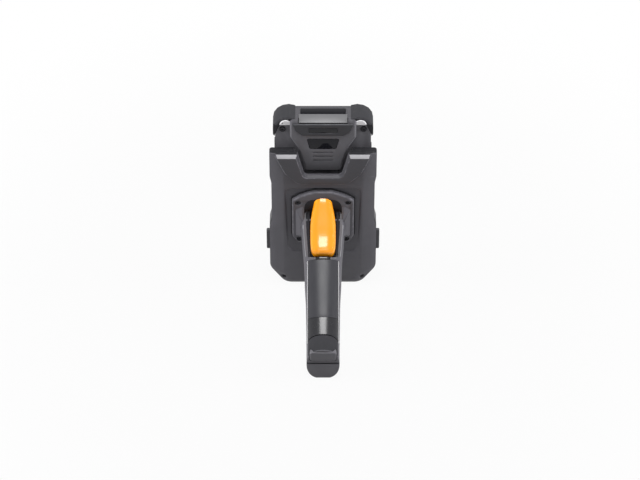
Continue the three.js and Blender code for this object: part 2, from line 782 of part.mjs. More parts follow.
function addHandheld() {
  place(head, 'handheld_housing', handheldHousing(), darkPlastic);
  place(head, 'handheld_bezel', handheldBezel(), blackRubber);
  place(head, 'display_glass', displayGlass(), glassBlack);
  place(head, 'display_module', displayModule(), blackGloss);
  place(head, 'main_board', mainBoard(), boardGreen);
  place(head, 'handheld_battery', handheldBattery(), cellWrap);
  place(head, 'scan_engine', scanEngine(), blackGloss);
  place(head, 'scan_window', scanWindow(), glassBlack);
  place(head, 'light_bar', lightBar(), lightBarPlastic);
  place(head, 'camera_module', cameraModule(), blackGloss);
  place(head, 'camera_window', cameraWindow(), glassBlack);
  place(head, 'speaker', speaker(), shieldMetal);
  place(head, 'top_cap', topCap(), darkPlastic);
  place(head, 'nameplate', nameplate(), blackGloss);
  place(head, 'bumper_left', bumper(-1), blackRubber);
  place(head, 'bumper_right', bumper(1), blackRubber);
  place(head, 'corner_post_left', cornerPost(-1), charcoalPlastic);
  place(head, 'corner_post_right', cornerPost(1), charcoalPlastic);
  bodyScrewPlaces.forEach((at, i) => place(
    head, `body_screw_${i + 1}`, bodyScrew(at), screwSteel));
  Object.entries(keys).forEach(([name, key]) => place(head, name, keyShape(key), darkPlastic));
}

addSled();
addGrip();
addHandheld();

const reader = new THREE.Group();
reader.add(head);
const bounds = new THREE.Box3().setFromObject(reader, true);
head.position.y = -(bounds.min.y + bounds.max.y) / 2;

export default reader;
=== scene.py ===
import json
import math

import bmesh
import bpy
from mathutils import Matrix, Vector

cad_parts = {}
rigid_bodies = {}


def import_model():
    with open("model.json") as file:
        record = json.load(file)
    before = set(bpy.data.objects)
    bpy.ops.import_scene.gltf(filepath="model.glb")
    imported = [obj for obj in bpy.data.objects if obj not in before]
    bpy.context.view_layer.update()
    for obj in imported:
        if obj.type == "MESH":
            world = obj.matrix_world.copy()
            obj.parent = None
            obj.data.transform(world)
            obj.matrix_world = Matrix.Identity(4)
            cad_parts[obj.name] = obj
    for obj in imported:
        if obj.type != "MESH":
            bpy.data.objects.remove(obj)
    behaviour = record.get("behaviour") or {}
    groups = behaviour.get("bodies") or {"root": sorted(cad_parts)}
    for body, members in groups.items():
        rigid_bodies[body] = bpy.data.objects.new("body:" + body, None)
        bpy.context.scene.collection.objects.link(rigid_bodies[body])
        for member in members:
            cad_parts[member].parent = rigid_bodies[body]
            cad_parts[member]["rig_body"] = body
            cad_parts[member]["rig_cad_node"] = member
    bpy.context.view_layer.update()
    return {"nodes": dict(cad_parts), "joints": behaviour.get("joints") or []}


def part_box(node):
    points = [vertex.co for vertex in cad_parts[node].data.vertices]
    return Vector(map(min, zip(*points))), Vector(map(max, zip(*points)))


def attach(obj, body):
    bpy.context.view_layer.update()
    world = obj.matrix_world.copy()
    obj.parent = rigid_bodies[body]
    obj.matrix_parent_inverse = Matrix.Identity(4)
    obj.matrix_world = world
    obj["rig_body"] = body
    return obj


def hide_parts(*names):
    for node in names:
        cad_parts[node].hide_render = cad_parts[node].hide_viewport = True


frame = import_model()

mm = 0.001

# ---------- places taken from the frame ----------

joints = {joint["name"]: joint for joint in frame["joints"]}
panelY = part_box("sled_shell")[0].y                      # the sled's flat outer face
gripDown = Vector(joints["battery_slide"]["axis"])      # along the grip, away from the sled
gripFront = Vector((0, gripDown.z, -gripDown.y))        # the side that the trigger is on
pinForward = 9                                          # the trigger's pin, from the grip's middle line
pinDown = 6                                             # and from the panel, along the grip, mm
pinAt = Vector(joints["trigger_hinge"]["pos_m"])
gripRoot = pinAt - gripFront * pinForward * mm - gripDown * pinDown * mm
gripPlace = Matrix((
    (1, 0, 0, 0),
    (0, gripFront.y, gripDown.y, gripRoot.y),
    (0, gripFront.z, gripDown.z, gripRoot.z),
    (0, 0, 0, 1)))
# Head frame: x across, y up the head, z out of the panel
headPlace = Matrix(((1, 0, 0, 0), (0, 0, -1, panelY), (0, 1, 0, 0), (0, 0, 0, 1)))


# ---------- modelling helpers ----------

def deselect():
    if bpy.context.mode != "OBJECT":
        bpy.ops.object.mode_set(mode="OBJECT")
    bpy.ops.object.select_all(action="DESELECT")


def activate(piece):
    deselect()
    piece.select_set(True)
    bpy.context.view_layer.objects.active = piece


def edit(piece):
    activate(piece)
    bpy.ops.object.mode_set(mode="EDIT")
    return bmesh.from_edit_mesh(piece.data)


def pick(piece, kind, test):
    # Selects the faces, edges or verts that pass a test of their place or normal
    bpy.ops.mesh.select_mode(type=kind)
    bpy.ops.mesh.select_all(action="DESELECT")
    shape = bmesh.from_edit_mesh(piece.data)
    found = {"FACE": shape.faces, "EDGE": shape.edges, "VERT": shape.verts}[kind]
    for item in found:
        if test(item):
            item.select_set(True)
    shape.select_flush_mode()
    bmesh.update_edit_mesh(piece.data)


def closeShape():
    bpy.ops.mesh.select_all(action="SELECT")
    bpy.ops.mesh.remove_doubles(threshold=1e-6)
    bpy.ops.mesh.normals_make_consistent(inside=False)
    bpy.ops.object.mode_set(mode="OBJECT")


def applyModifier(piece, kind, **settings):
    activate(piece)
    modifier = piece.modifiers.new(kind.title(), kind)
    for name, value in settings.items():
        setattr(modifier, name, value)
    bpy.ops.object.modifier_apply(modifier=modifier.name)


def carve(piece, *tools, how="DIFFERENCE"):
    for tool in tools:
        applyModifier(piece, "BOOLEAN", object=tool, operation=how, solver="EXACT")
        bpy.data.objects.remove(tool)
    return piece


def soften(piece, width, segments=2, angle=30):
    applyModifier(
        piece, "BEVEL", width=width, segments=segments, limit_method="ANGLE",
        angle_limit=math.radians(angle), use_clamp_overlap=True)
    return piece


def block(name, low, high, corner=0, segments=4, along="z"):
    # A box between two corners, with the edges that run along one axis rounded
    low, high = Vector(low), Vector(high)
    deselect()
    bpy.ops.mesh.primitive_cube_add(size=1, location=(low + high) / 2)
    piece = bpy.context.object
    piece.name = name
    piece.scale = high - low
    bpy.ops.object.transform_apply(location=True, rotation=True, scale=True)
    if corner:
        axis = Vector([along == letter for letter in "xyz"])
        edit(piece)
        pick(piece, "EDGE", lambda e: abs((e.verts[0].co - e.verts[1].co).normalized().dot(axis)) > 0.9)
        bpy.ops.mesh.bevel(offset=corner, segments=segments, affect="EDGES")
        closeShape()
    return piece


def drum(name, radius, low, high, x=0, y=0, sides=32):
    # A cylinder along z between two heights
    deselect()
    bpy.ops.mesh.primitive_cylinder_add(
        vertices=sides, radius=radius, depth=high - low, location=(x, y, (low + high) / 2))
    piece = bpy.context.object
    piece.name = name
    bpy.ops.object.transform_apply(location=True, rotation=True, scale=True)
    return piece


def loft(name, rings):
    # A disc is extruded from ring to ring, and each new ring is drawn to its outline
    deselect()
    bpy.ops.mesh.primitive_circle_add(vertices=len(rings[0]), radius=0.01, fill_type="NGON")
    piece = bpy.context.object
    piece.name = name
    shape = edit(piece)
    for vert, point in zip(shape.faces[:][0].verts, rings[0]):
        vert.co = point
    for before, ring in zip(rings, rings[1:]):
        bpy.ops.mesh.extrude_region()
        shape = bmesh.from_edit_mesh(piece.data)
        last = {tuple(round(value, 7) for value in point): place for point, place in zip(before, ring)}
        for vert in [v for v in shape.verts if v.select]:
            key = min(last, key=lambda k: (Vector(k) - vert.co).length_squared)
            vert.co = last[key]
    bmesh.update_edit_mesh(piece.data)
    closeShape()
    return piece


def outline(corners, height, steps=5):
    # A closed ring of points through rounded corners, each given as x, y and radius in mm
    points = []
    for i, (x, y, radius) in enumerate(corners):
        corner = Vector((x, y, 0))
        before = (Vector((*corners[i - 1][:2], 0)) - corner).normalized()
        after = (Vector((*corners[(i + 1) % len(corners)][:2], 0)) - corner).normalized()
        half = before.angle(after) / 2
        start = corner + before * radius / math.tan(half)
        centre = corner + (before + after).normalized() * radius / math.sin(half)
        spoke = start - centre
        turn = math.pi - 2 * half
        sense = math.copysign(1, spoke.cross(corner - centre).z)
        for step in range(steps + 1):
            point = centre + Matrix.Rotation(sense * turn * step / steps, 3, "Z") @ spoke
            points.append(Vector((point.x, point.y, height)) * mm)
    return points


def bothSides(right):
    return [*right, *[(-x, y, radius) for x, y, radius in reversed(right)]]


def plate(name, corners, low, high):
    # A flat plate in the head frame between two heights, in mm
    return loft(name, [outline(corners, low), outline(corners, high)])


def move(piece, place):
    piece.data.transform(place)
    piece.data.update()
    return piece


def copyOf(piece, name):
    twin = piece.copy()
    twin.data = piece.data.copy()
    twin.name = name
    bpy.context.scene.collection.objects.link(twin)
    return twin


def fromNode(node, name):
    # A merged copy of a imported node, flat faces made whole, ready for finer edges
    piece = copyOf(frame["nodes"][node], name)
    piece.parent = None
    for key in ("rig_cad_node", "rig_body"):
        del piece[key]
    piece.data.materials.clear()
    activate(piece)
    bpy.ops.mesh.customdata_custom_splitnormals_clear()
    edit(piece)
    bpy.ops.mesh.select_all(action="SELECT")
    bpy.ops.mesh.remove_doubles(threshold=2e-6)
    bpy.ops.mesh.dissolve_limited(angle_limit=math.radians(1.2))
    bpy.ops.object.mode_set(mode="OBJECT")
    return piece


def markEdges(piece, narrow=0.7 * mm):
    # Narrow faces that turn a corner are marked for rubbed wear and for a painted highlight that lightens
    # their colour
    shape = bmesh.new()
    shape.from_mesh(piece.data)
    wornAndHighlighted = []
    for face in shape.faces:
        width = 2 * face.calc_area() / max(face.calc_perimeter(), 1e-9)
        turns = sum(1 for e in face.edges if len(e.link_faces) == 2 and e.calc_face_angle(0) > 0.17)
        wornAndHighlighted.append(1.0 if width < narrow and turns >= 2 else 0.0)
    shape.free()
    attribute = piece.data.attributes.new("edgeWear", "FLOAT", "FACE")
    attribute.data.foreach_set("value", wornAndHighlighted)


def finishPiece(piece, body, material, nodes=(), smooth=32, wearAndHighlight=True):
    activate(piece)
    bpy.ops.object.transform_apply(location=True, rotation=True, scale=True)
    bpy.ops.object.shade_smooth_by_angle(angle=math.radians(smooth))
    if wearAndHighlight:
        markEdges(piece)
    piece.data.materials.clear()
    piece.data.materials.append(material)
    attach(piece, body)
    if nodes:
        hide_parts(*nodes)


# ---------- materials ----------

class Value:
    # A socket that can be used in plain sums; each operator adds a Math node
    def __init__(self, finish, socket):
        self.finish = finish
        self.socket = socket

    def sum(self, operation, first, second):
        node = self.finish.node("Math", {"operation": operation}, {0: first, 1: second})
        return Value(self.finish, node.outputs[0])

    def __add__(self, other):
        return self.sum("ADD", self, other)

    def __radd__(self, other):
        return self.sum("ADD", other, self)

    def __sub__(self, other):
        return self.sum("SUBTRACT", self, other)

    def __rsub__(self, other):
        return self.sum("SUBTRACT", other, self)

    def __mul__(self, other):
        return self.sum("MULTIPLY", self, other)

    def __rmul__(self, other):
        return self.sum("MULTIPLY", other, self)

    def __gt__(self, other):
        return self.sum("GREATER_THAN", self, other)

    def __lt__(self, other):
        return self.sum("LESS_THAN", self, other)

    def ramp(self, low, high):
        node = self.finish.node(
            "MapRange", {"interpolation_type": "SMOOTHSTEP"},
            {"Value": self, "From Min": low, "From Max": high})
        return Value(self.finish, node.outputs["Result"])


class Finish:
    # A material whose values are set on the Principled shader, and whose patterns are added to it
    def __init__(self, name, **values):
        self.material = bpy.data.materials.new(name)
        self.material.use_nodes = True
        self.tree = self.material.node_tree
        self.shader = self.tree.nodes["Principled BSDF"]
        for key, value in values.items():
            self.shader.inputs[key.replace("_", " ")].default_value = value

    def node(self, kind, settings, sockets):
        node = self.tree.nodes.new("ShaderNode" + kind)
        for key, value in settings.items():
            if key == "stops":
                for index, (place, colour) in enumerate(value):
                    stops = node.color_ramp.elements
                    stop = stops[index] if index < len(stops) else stops.new(place)
                    stop.position = place
                    stop.color = (*colour, 1)
            else:
                setattr(node, key, value)
        for key, value in sockets.items():
            self.feed(node.inputs[key], value)
        return node

    def feed(self, socket, value):
        if isinstance(value, Value):
            self.tree.links.new(value.socket, socket)
        elif isinstance(value, bpy.types.NodeSocket):
            self.tree.links.new(value, socket)
        elif isinstance(value, tuple) and len(value) == 3 and socket.type == "RGBA":
            socket.default_value = (*value, 1)
        else:
            socket.default_value = value

    def place(self, turn=(0, 0, 0), stretch=(1, 1, 1)):
        coords = self.node("TexCoord", {}, {})
        return self.node("Mapping", {}, {
            "Vector": coords.outputs["Object"], "Rotation": turn, "Scale": stretch}).outputs[0]

    def noise(self, size, detail=2.0, roughness=0.5, **where):
        # Soft random patches about as wide as size
        node = self.node("TexNoise", {}, {
            "Vector": self.place(**where), "Scale": 1 / size, "Detail": detail, "Roughness": roughness})
        return Value(self, node.outputs["Fac"])

    def cells(self, size, **where):
        node = self.node("TexVoronoi", {}, {"Vector": self.place(**where), "Scale": 1 / size})
        return Value(self, node.outputs["Distance"])

    def along(self, axis):
        coords = self.node("TexCoord", {}, {})
        split = self.node("SeparateXYZ", {}, {0: coords.outputs["Object"]})
        return Value(self, split.outputs["XYZ".index(axis)])

    def edges(self):
        node = self.node("Attribute", {"attribute_name": "edgeWear"}, {})
        return Value(self, node.outputs["Fac"])

    def mix(self, factor, first, second):
        node = self.node("Mix", {"data_type": "RGBA"}, {"Factor": factor, 6: first, 7: second})
        return node.outputs[2]

    def paint(self, **parts):
        for key, value in parts.items():
            self.feed(self.shader.inputs[key.replace("_", " ")], value)

    def bump(self, height, depth, strength=1.0):
        node = self.node("Bump", {}, {"Height": height, "Distance": depth, "Strength": strength})
        self.feed(self.shader.inputs["Normal"], node.outputs[0])


def shade(colour, factor):
    return tuple(min(part * factor, 1) for part in colour)


def mouldedPlastic(name, colour, rough=0.52, grain=0.42 * mm, depth=0.05 * mm, wearAndHighlight=1.9):
    finish = Finish(name, IOR=1.5, Specular_IOR_Level=0.3)
    cloud = finish.noise(14 * mm, 3)
    speck = finish.noise(grain, 2, 0.6)
    pits = finish.cells(grain * 1.6)
    smudge = finish.noise(34 * mm, 4, 0.62, stretch=(1, 1, 0.6)).ramp(0.48, 0.72)
    # Marked edges are lightened in patches: rubbed wear and a painted highlight
    rubAndHighlight = finish.edges() * finish.noise(5 * mm, 4).ramp(0.42, 0.62)
    base = finish.mix(cloud, shade(colour, 0.9), shade(colour, 1.12))
    dusted = finish.mix(speck.ramp(0.62, 0.78) * 0.16, base, shade(colour, 1.9))
    wornAndHighlighted = finish.mix(rubAndHighlight * 0.5, dusted, shade(colour, wearAndHighlight))
    finish.paint(
        Base_Color=wornAndHighlighted,
        Roughness=rough + (cloud - 0.5) * 0.1 - smudge * 0.09 - rubAndHighlight * 0.12)
    finish.bump(speck * 0.6 + pits * 0.4, depth)
    return finish.material


def softRubber(name, colour):
    finish = Finish(name, IOR=1.46, Specular_IOR_Level=0.22)
    cloud = finish.noise(11 * mm, 4, 0.6)
    grain = finish.noise(0.3 * mm, 3, 0.7)
    dust = finish.noise(6 * mm, 6, 0.7).ramp(0.55, 0.8)
    rubAndHighlight = finish.edges() * finish.noise(4 * mm, 4).ramp(0.45, 0.65)
    base = finish.mix(cloud, shade(colour, 0.8), shade(colour, 1.25))
    dusty = finish.mix(dust * 0.22 + rubAndHighlight * 0.3, base, (0.09, 0.088, 0.085))
    finish.paint(Base_Color=dusty, Roughness=0.74 + (cloud - 0.5) * 0.14 + dust * 0.08)
    finish.bump(grain, 0.06 * mm)
    return finish.material


def glossPlastic(name, colour, rough=0.14, coat=0.0, tint=None, shine=0.32):
    finish = Finish(
        name, IOR=1.5, Specular_IOR_Level=shine, Coat_Weight=coat, Coat_Roughness=0.06)
    cloud = finish.noise(20 * mm, 2)
    hair = finish.noise(0.5 * mm, 4, 0.7, stretch=(1, 1, 0.08)).ramp(0.6, 0.8)
    finger = finish.noise(9 * mm, 5, 0.65).ramp(0.5, 0.75)
    # Marked edges take a paler tint: rubbed wear and a painted highlight
    rubAndHighlight = finish.edges() * finish.noise(3 * mm, 4).ramp(0.5, 0.7)
    base = finish.mix(cloud, shade(colour, 0.93), shade(colour, 1.06))
    wornAndHighlighted = finish.mix(rubAndHighlight * 0.4, base, tint or shade(colour, 1.6))
    finish.paint(Base_Color=wornAndHighlighted, Roughness=rough + finger * 0.07 + hair * 0.08)
    finish.bump(finish.noise(3.2 * mm, 2), 0.012 * mm)
    return finish.material


def windowGlass(name, colour, rough=0.05, shine=0.2):
    finish = Finish(name, IOR=1.5, Specular_IOR_Level=shine)
    finger = finish.noise(7 * mm, 5, 0.7).ramp(0.52, 0.78)
    dust = finish.noise(0.7 * mm, 3, 0.8).ramp(0.72, 0.8)
    finish.paint(
        Base_Color=finish.mix(dust * 0.25, colour, (0.12, 0.12, 0.125)),
        Roughness=rough + finger * 0.08 + dust * 0.2)
    finish.bump(finish.noise(5 * mm, 2), 0.008 * mm)
    return finish.material


screenArea = {
    "middle": 99.5 * mm,               # of the lit part of the display, up the head
    "halfWidth": 36.2 * mm,
    "halfHeight": 78.5 * mm,
}


def displayGlass(name):
    finish = Finish(name, IOR=1.5, Specular_IOR_Level=0.32)
    x = finish.along("X")
    z = finish.along("Z") - screenArea["middle"]
    inside = (x * x < screenArea["halfWidth"] ** 2) * (z * z < screenArea["halfHeight"] ** 2)
    finger = finish.noise(9 * mm, 5, 0.7).ramp(0.5, 0.78)
    dust = finish.noise(0.7 * mm, 3, 0.8).ramp(0.72, 0.8)
    base = finish.mix(inside, (0.003, 0.003, 0.004), (0.011, 0.012, 0.016))
    finish.paint(
        Base_Color=finish.mix(dust * 0.2, base, (0.12, 0.12, 0.125)),
        Roughness=0.04 + finger * 0.07 + dust * 0.2)
    finish.bump(finish.noise(14 * mm, 2), 0.008 * mm)
    return finish.material


def metal(name, colour, rough, stretch=(1, 1, 1)):
    finish = Finish(name, Metallic=1.0)
    grain = finish.noise(0.8 * mm, 4, 0.7, stretch=stretch)
    stain = finish.noise(6 * mm, 4, 0.6).ramp(0.45, 0.75)
    rubAndHighlight = finish.edges() * finish.noise(2 * mm, 3).ramp(0.4, 0.6)
    base = finish.mix(stain, shade(colour, 1.1), shade(colour, 0.8))
    finish.paint(
        Base_Color=finish.mix(rubAndHighlight * 0.7, base, shade(colour, 2.2)),
        Roughness=rough + grain * 0.16 + stain * 0.08 - rubAndHighlight * 0.1)
    finish.bump(grain, 0.02 * mm)
    return finish.material


def circuitBoard(name):
    finish = Finish(name, IOR=1.5)
    run = finish.node("TexBrick", {"offset": 0.37, "squash": 1.0}, {
        "Vector": finish.place(turn=(math.pi / 2, 0, 0)), "Scale": 120.0, "Color1": (0.012, 0.1, 0.042),
        "Color2": (0.016, 0.13, 0.05), "Mortar": (0.03, 0.2, 0.08), "Mortar Size": 0.03})
    pads = finish.cells(2.6 * mm) < 0.16
    cloud = finish.noise(9 * mm, 2)
    finish.paint(
        Base_Color=finish.mix(pads, run.outputs["Color"], (0.75, 0.6, 0.22)),
        Metallic=pads * 0.9,
        Roughness=0.32 + cloud * 0.12)
    finish.bump(pads * 1.0 + Value(finish, run.outputs["Fac"]) * 0.4, 0.04 * mm)
    return finish.material


def ceramicBody(name, colour):
    finish = Finish(name)
    grain = finish.noise(0.5 * mm, 5, 0.7)
    spots = finish.noise(1.4 * mm, 2).ramp(0.66, 0.74)
    finish.paint(
        Base_Color=finish.mix(spots * 0.3, colour, shade(colour, 0.6)),
        Roughness=0.55 + grain * 0.2)
    finish.bump(grain, 0.03 * mm)
    return finish.material


def cellSleeve(name, colour):
    finish = Finish(name, IOR=1.48)
    cloud = finish.noise(16 * mm, 3)
    wrinkle = finish.noise(2.4 * mm, 4, 0.6, stretch=(1, 1, 0.25))
    finish.paint(
        Base_Color=finish.mix(cloud, shade(colour, 0.85), shade(colour, 1.2)),
        Roughness=0.34 + wrinkle * 0.14)
    finish.bump(wrinkle, 0.05 * mm)
    return finish.material


colours = {
    "charcoal": (0.066, 0.064, 0.073),
    "nearBlack": (0.034, 0.034, 0.038),
    "rubber": (0.011, 0.011, 0.013),
    "orange": (0.64, 0.225, 0.002),
}
charcoal = mouldedPlastic("charcoalPlastic", colours["charcoal"])
nearBlack = mouldedPlastic("nearBlackPlastic", colours["nearBlack"], 0.5, 0.36 * mm)
# Its marked edges are lightened five times over: a painted highlight on its edges
hoodPlastic = mouldedPlastic("hoodPlastic", (0.042, 0.041, 0.047), 0.5, 0.4 * mm, 0.05 * mm, 5.0)
postPlastic = mouldedPlastic("postPlastic", (0.50, 0.495, 0.51), 0.42, 0.4 * mm)
rubber = softRubber("blackRubber", colours["rubber"])
sheetPlastic = mouldedPlastic("sheetPlastic", (0.024, 0.024, 0.028), 0.38, 0.4 * mm, 0.03 * mm)
# Pale plastics for painted highlights on the grip shells' lip and rim
lipHighlightPlastic = mouldedPlastic("lipHighlightPlastic", (0.6, 0.596, 0.61), 0.35, 0.4 * mm, 0.03 * mm)
rimHighlightPlastic = mouldedPlastic("rimHighlightPlastic", (0.15, 0.149, 0.158), 0.42, 0.4 * mm, 0.03 * mm)
# A pale plastic for the hood's up-facing chamfers: a painted highlight
chamferHighlightPlastic = mouldedPlastic("chamferHighlightPlastic", (0.25, 0.247, 0.26), 0.4, 0.4 * mm, 0.03 * mm)
capPlastic = mouldedPlastic("capPlastic", (0.092, 0.09, 0.1))
bumperRubber = softRubber("bumperRubber", (0.024, 0.024, 0.027))
# A pale rubber for the bumpers' inner lip: a painted highlight
bumperLipHighlightRubber = softRubber("bumperLipHighlightRubber", (0.2, 0.199, 0.205))
orange = glossPlastic("orangeGloss", colours["orange"], 0.2, 0.35, (0.8, 0.38, 0.04))
blackGloss = glossPlastic("blackGloss", (0.006, 0.006, 0.008), 0.1)
bandGloss = glossPlastic("bandGloss", (0.006, 0.006, 0.008), 0.24, shine=0.5)
lightGuide = glossPlastic("lightGuide", (0.09, 0.09, 0.095), 0.36)
darkGlass = windowGlass("darkGlass", (0.006, 0.006, 0.009))
slotGlass = windowGlass("slotGlass", (0.005, 0.005, 0.007), 0.3, 0.06)
screenGlass = displayGlass("screenGlass")
blackSteel = metal("blackSteel", (0.09, 0.09, 0.1), 0.36)
oxideSteel = metal("oxideSteel", (0.028, 0.028, 0.031), 0.42)
brightSteel = metal("brightSteel", (0.55, 0.55, 0.57), 0.22, (0.2, 1, 1))
shieldTin = metal("shieldTin", (0.62, 0.62, 0.63), 0.3, (0.1, 1, 1))
boardGreen = circuitBoard("boardGreen")
antennaCeramic = ceramicBody("antennaCeramic", (0.72, 0.69, 0.62))
sleeveBlue = cellSleeve("sleeveBlue", (0.03, 0.06, 0.16))
print("materials made")


# ---------- grip ----------

grip = {
    # distance from the panel, half width, reach to the front and to the back, all mm
    "stations": [
        (-30, 21.5, 16, 22), (0, 21.2, 16, 21.6), (14, 20.8, 15.8, 20.6), (28, 19.8, 15.6, 19.2),
        (50, 18, 15.6, 17.6), (72, 17.2, 15.8, 16.9), (90, 16.2, 15.9, 16.4),
        (130, 15.6, 16.6, 16.2), (180, 15.5, 17, 16.2)],
    "sides": 72,
    "fullness": 0.84,
    "wall": 3,
    "inlayHalf": 14,
    "inlayDepth": 1.6,
    "inlayStart": 48,
    "lip": 0.8,                       # how wide the slant beside the inlay is, and how deep
    "lipDrop": 0.55,
    "lipClear": 25,                   # in front of the lip, where its cutter ends
    "split": 105.6,
    "end": 130 - 13.7 - 0.3,          # where the shells stop, from the panel
    "clear": 40,                      # well in front of the grip
    "wellFloor": 9,
    # how far along the grip and half width of the trigger well
    "well": [(-40, 19), (10, 18.7), (25, 18.1), (36, 16.8), (42, 15.2), (44.4, 13.6)],
    "windowHalf": 12.6,
    "windowEnd": 45.3,
}


def smoothStations(step=4):
    # The grip's profile, read off smooth curves through its stations
    stations = grip["stations"]
    found = []
    for before, start, stop, after in zip(
            [stations[0], *stations], stations, stations[1:], [*stations[2:], stations[-1]]):
        count = max(1, round((stop[0] - start[0]) / step))
        for i in range(count):
            t = i / count
            row = []
            for a, b, c, d in zip(before, start, stop, after):
                row.append(b + (c - b) * t if a is before[0] else 0.5 * (
                    2 * b + (c - a) * t + (2 * a - 5 * b + 4 * c - d) * t * t
                    + (3 * b - a - 3 * c + d) * t ** 3))
            row[0] = start[0] + (stop[0] - start[0]) * t
            found.append(row)
    found.append(list(stations[-1]))
    return found


def eggRing(half, front, back, height):
    points = []
    for i in range(grip["sides"]):
        angle = (i + 0.5) / grip["sides"] * math.tau
        reach = front if math.sin(angle) > 0 else back
        across, ahead = [
            math.copysign(abs(part) ** grip["fullness"], part)
            for part in (math.cos(angle), math.sin(angle))]
        points.append(Vector((half * across, reach * ahead, height)) * mm)
    return points


def gripLoft(name, thinner=0.0, start=-30, stop=180):
    rows = [row for row in smoothStations() if start <= row[0] <= stop]
    return loft(name, [eggRing(w - thinner, f - thinner, b - thinner, h) for h, w, f, b in rows])


def slab(name, low, high):
    # A wide slice of the head frame, seen from the grip's own frame
    piece = block(name, (-0.2, -0.2, low * mm), (0.2, 0.3, high * mm))
    return move(piece, gripPlace.inverted() @ headPlace)


# Faces of the grip shells painted pale as a highlight: the lip beside the inlay and a rim beside the trigger
# well
paintedHighlightFaces = {
    "lip": (14.8, 0.7),                # from the middle line and spread, mm
    "rim": (8.25, 0.6),                # toward the front and spread, mm
    "rimStart": 11,
    "rimEnd": 44,
}


def frontLevel(half, front, x):
    # How far forward the grip's surface is, off its middle line
    across = (x / half) ** (1 / grip["fullness"])
    return front * math.sqrt(max(1 - across ** 2, 0)) ** grip["fullness"]


def lipCut(side):
    # Slants the lip of a shell down toward the inlay
    inner = side * grip["inlayHalf"]
    outer = side * (grip["inlayHalf"] + 0.3 + grip["lip"])
    rings = []
    for height, half, front, _ in smoothStations():
        if height > 40:
            level = frontLevel(half, front, abs(outer))
            low, high = level - grip["lipDrop"], grip["lipClear"]
            corners = ((inner, low), (outer, level), (outer, high), (inner, high))
            rings.append([Vector((x, y, height)) * mm for x, y in corners])
    piece = loft("lipCut", rings)
    keep = block("keep", (-0.03, -0.02, (grip["inlayStart"] - 0.3) * mm), (0.03, 0.04, 0.16))
    return carve(piece, keep, how="INTERSECT")


def wellCut(spare=0.0):
    # The room round the trigger, narrower toward its end; spare shrinks it
    rings = []
    for height, half in grip["well"]:
        wide = half - spare
        low, high = grip["wellFloor"] + spare, grip["clear"]
        corners = ((-wide, low), (wide, low), (wide, high), (-wide, high))
        rings.append([Vector((x, y, height - spare)) * mm for x, y in corners])
    return loft("wellCut", rings)


def gripShells():
    whole = gripLoft("gripWhole", 0, -8)
    inner = gripLoft("gripInner", grip["wall"], -12)
    carve(whole, inner)
    half = grip["inlayHalf"] + 0.3
    band = block("inlayCut", (-half * mm, 0, (grip["inlayStart"] - 0.3) * mm), (half * mm, 0.1, 0.2))
    carve(band, gripLoft("inlayFloor", grip["inlayDepth"] + 0.3))
    window = block(
        "window", (-grip["windowHalf"] * mm, 2 * mm, -0.04),
        (grip["windowHalf"] * mm, 0.04, grip["windowEnd"] * mm), 2.5 * mm, 4, "y")
    carve(window, slab("windowTop", -60, 4.1))
    carve(whole, wellCut())
    notch = block("lipNotch", (-7.1 * mm, 8 * mm, 44.9 * mm), (7.1 * mm, 0.1, 47.7 * mm))
    carve(whole, slab("neckCut", -80, -1.2), slab("endCut", grip["end"], 260), band, window, notch)
    carve(whole, lipCut(-1), lipCut(1))
    for side, name in ((-1, "gripShellLeft"), (1, "gripShellRight")):
        half = copyOf(whole, name)
        edit(half)
        bpy.ops.mesh.select_all(action="SELECT")
        bpy.ops.mesh.bisect(
            plane_co=(side * 0.15 * mm, 0, 0), plane_no=(side, 0, 0), use_fill=True,
            clear_inner=True)
        closeShape()
        soften(half, 0.25 * mm, 2, 38)
        move(half, gripPlace)
        node = "grip_shell_left" if side < 0 else "grip_shell_right"
        finishPiece(half, "sled", charcoal, [node], 40)
        half.data.materials.append(lipHighlightPlastic)
        half.data.materials.append(rimHighlightPlastic)
        # Lip and rim faces get pale plastics, a painted highlight
        for face in half.data.polygons:
            at = gripPlace.inverted() @ face.center / mm
            facing = gripPlace.inverted().to_3x3() @ face.normal
            across, spread = paintedHighlightFaces["lip"]
            level, reach = paintedHighlightFaces["rim"]
            if abs(abs(at.x) - across) < spread and facing.x * side < -0.2 < 0.3 < facing.y:
                face.material_index = 1
            elif (
                    abs(at.y - level) < reach and facing.x * side > 0.2
                    and paintedHighlightFaces["rimStart"] < at.z < paintedHighlightFaces["rimEnd"]):
                face.material_index = 2
    bpy.data.objects.remove(whole)


def gripInlays():
    limits = [
        ("gripFrontSheet", "grip_front_sheet", grip["inlayStart"], grip["split"] - 0.3,
         sheetPlastic, "dark_plastic"),
        ("gripBand", "grip_band", grip["split"], 180,
         bandGloss, "black_gloss"),
    ]
    for name, node, start, stop, material, slot in limits:
        sheet = gripLoft(name, -0.2, 30)
        half = grip["inlayHalf"] * mm
        carve(sheet, block("keep", (-half, 2 * mm, start * mm), (half, 0.1, stop * mm)), how="INTERSECT")
        carve(sheet, gripLoft("inside", grip["inlayDepth"]), slab("endCut", grip["end"], 260))
        soften(sheet, 0.5 * mm, 3, 40)
        move(sheet, gripPlace)
        finishPiece(sheet, "sled", material, [node], 40)


trigger = {
    # along the grip, half width, rear face, front face, all mm
    "stations": [
        (-16, 7.4, 6, 27.2), (-10, 8.2, 6, 27.0), (-4, 9.2, 6, 26.3), (2, 10.4, 6, 25.3),
        (8, 11.4, 6.4, 24.2), (14, 12, 7, 23.0), (20, 12.1, 8.6, 22.0), (26, 12.1, 10, 21.3),
        (31, 12, 10, 21.1), (35, 11.8, 10, 21.2), (38.6, 11.3, 10, 21.3), (41.4, 10.2, 10.3, 20.7),
        (43, 8.8, 10.8, 19.5), (43.8, 7.0, 11.4, 17.8)],
    "crown": 6.6,
    "fullness": 0.72,
    "steps": 28,
}


